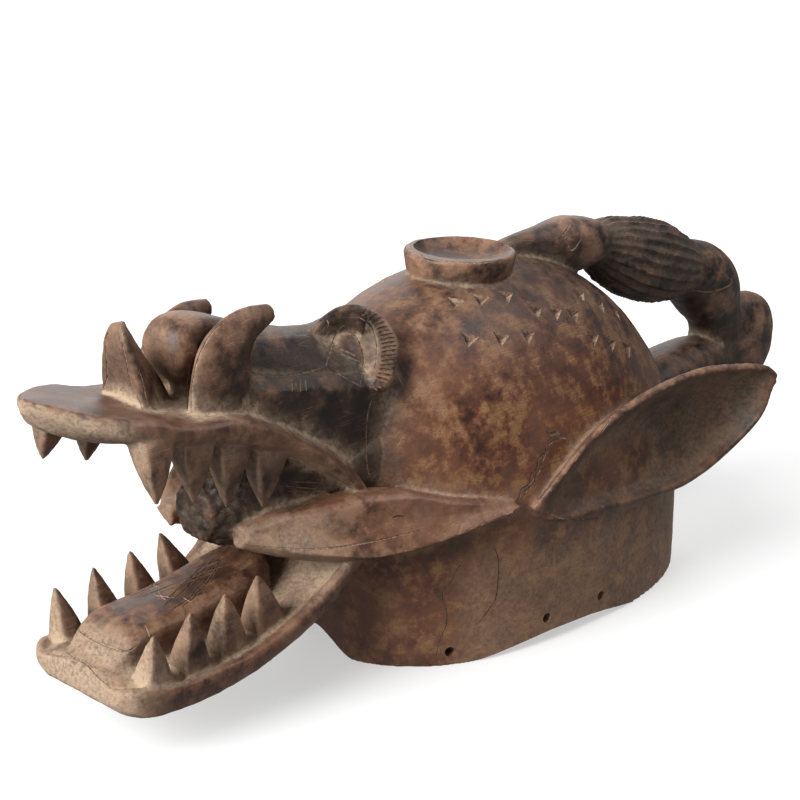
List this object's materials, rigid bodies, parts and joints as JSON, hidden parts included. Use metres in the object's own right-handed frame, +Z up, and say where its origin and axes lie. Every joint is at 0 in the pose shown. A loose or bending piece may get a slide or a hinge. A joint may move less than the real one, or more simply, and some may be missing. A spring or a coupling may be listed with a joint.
{
  "type": "helmet mask",
  "caption": "Carved wooden helmet mask of a beast with open toothed jaws, leaf-shaped ears, a shallow cup on the crown and a bird arching down the back; hollow and open below.",
  "frame": {"origin": "middle of the mask's bounding box, on the ground plane that the helmet's rim rests on", "axes": "+Z up, -Y the way the jaws point, +X the mask's left-hand side seen from the front, the side that the picture shows"},
  "size_m": [0.3, 0.736, 0.2704],
  "materials": {
    "carved_wood": "dark oiled hand-carved hardwood with an old worn patina and pale dust in the crevices"
  },
  "bodies": {
    "root": {"carved_mask": "carved_wood"}
  },
  "joints": []
}
